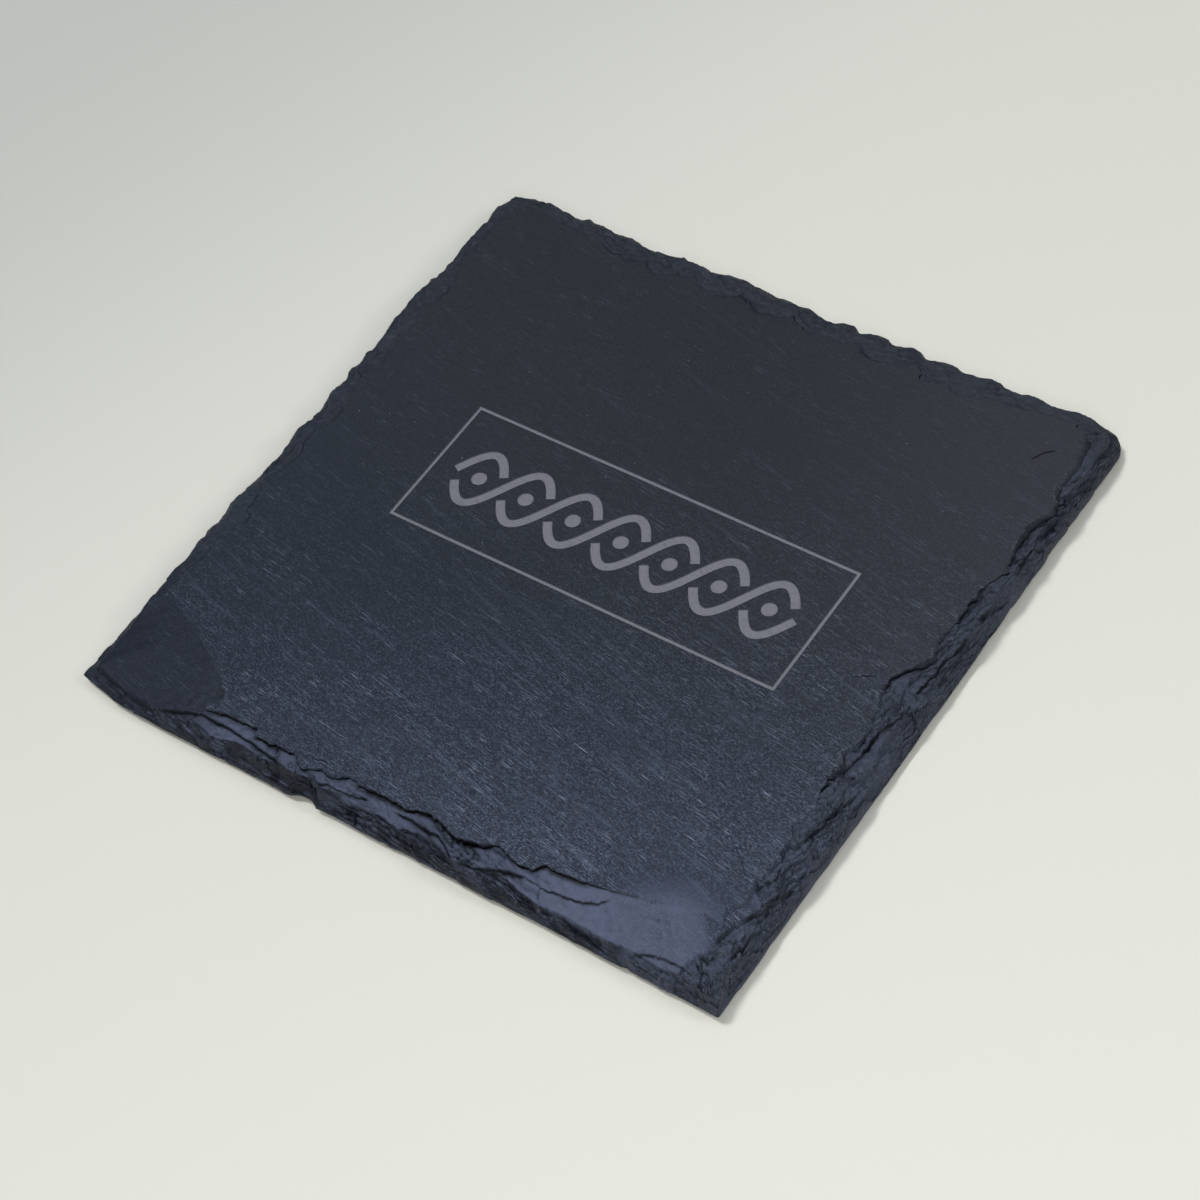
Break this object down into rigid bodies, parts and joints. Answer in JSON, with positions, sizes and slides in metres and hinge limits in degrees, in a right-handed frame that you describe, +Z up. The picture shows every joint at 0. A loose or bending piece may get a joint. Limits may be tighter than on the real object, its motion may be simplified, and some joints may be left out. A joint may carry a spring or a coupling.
{
  "type": "bottle coaster",
  "caption": "Square natural slate coaster with dressed, flaked edges and a shallow engraved band, raised on small self-adhesive felt feet; a bottle or glass stands on its flat top.",
  "frame": {"origin": "on the table, under the middle of the plate", "axes": "+X along the engraved band, left to right; +Y from the front edge to the back edge; +Z up"},
  "size_m": [0.1, 0.1, 0.005],
  "materials": {
    "slate": "riven slate, satin matte, paler where it is engraved",
    "felt": "dense black felt",
    "adhesive": "pale self-adhesive film"
  },
  "bodies": {
    "root": {"slate_plate": "slate", "felt_foot_front_left": "felt", "felt_foot_front_right": "felt", "felt_foot_back_right": "felt", "felt_foot_back_left": "felt", "adhesive_disc_front_left": "adhesive", "adhesive_disc_front_right": "adhesive", "adhesive_disc_back_right": "adhesive", "adhesive_disc_back_left": "adhesive"}
  },
  "joints": []
}
